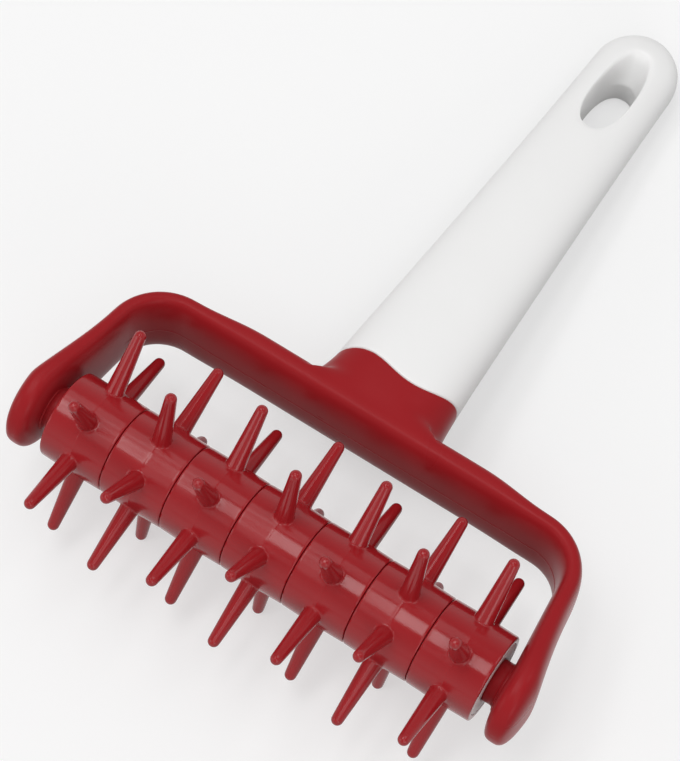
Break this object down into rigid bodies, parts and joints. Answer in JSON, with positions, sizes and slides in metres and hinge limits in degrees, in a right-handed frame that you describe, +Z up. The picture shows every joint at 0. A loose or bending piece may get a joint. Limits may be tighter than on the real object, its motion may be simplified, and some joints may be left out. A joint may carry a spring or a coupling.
{
  "type": "dough docker",
  "caption": "Hand-held dough docker: a free-turning roller of spiked rings on a keyed core, carried between the arms of a plastic yoke, with a tapered handle and a hang slot.",
  "frame": {"origin": "on the table under the middle of the tool, as it comes to rest by itself on two rows of spikes and the end of its handle", "axes": "+X along the roller from left to right, +Y from the roller towards the end of the handle, +Z up"},
  "size_m": [0.1242, 0.1832, 0.048],
  "materials": {
    "handle_white": "satin moulded plastic",
    "yoke_red": "satin gloss moulded plastic",
    "ring_red": "gloss moulded plastic",
    "core_white": "moulded plastic"
  },
  "bodies": {
    "frame": {"yoke": "yoke_red", "handle_grip": "handle_white"},
    "roller": {"spike_ring_1": "ring_red", "spike_ring_2": "ring_red", "spike_ring_3": "ring_red", "spike_ring_4": "ring_red", "spike_ring_5": "ring_red", "spike_ring_6": "ring_red", "spike_ring_7": "ring_red", "core_tube": "core_white", "end_cap_left": "core_white", "end_cap_right": "core_white"}
  },
  "joints": [
    {"name": "roller_spin", "type": "hinge", "parent": "frame", "child": "roller", "pos_m": [0, -0.06758, 0.024], "axis": [1, 0, 0], "continuous": true}
  ]
}
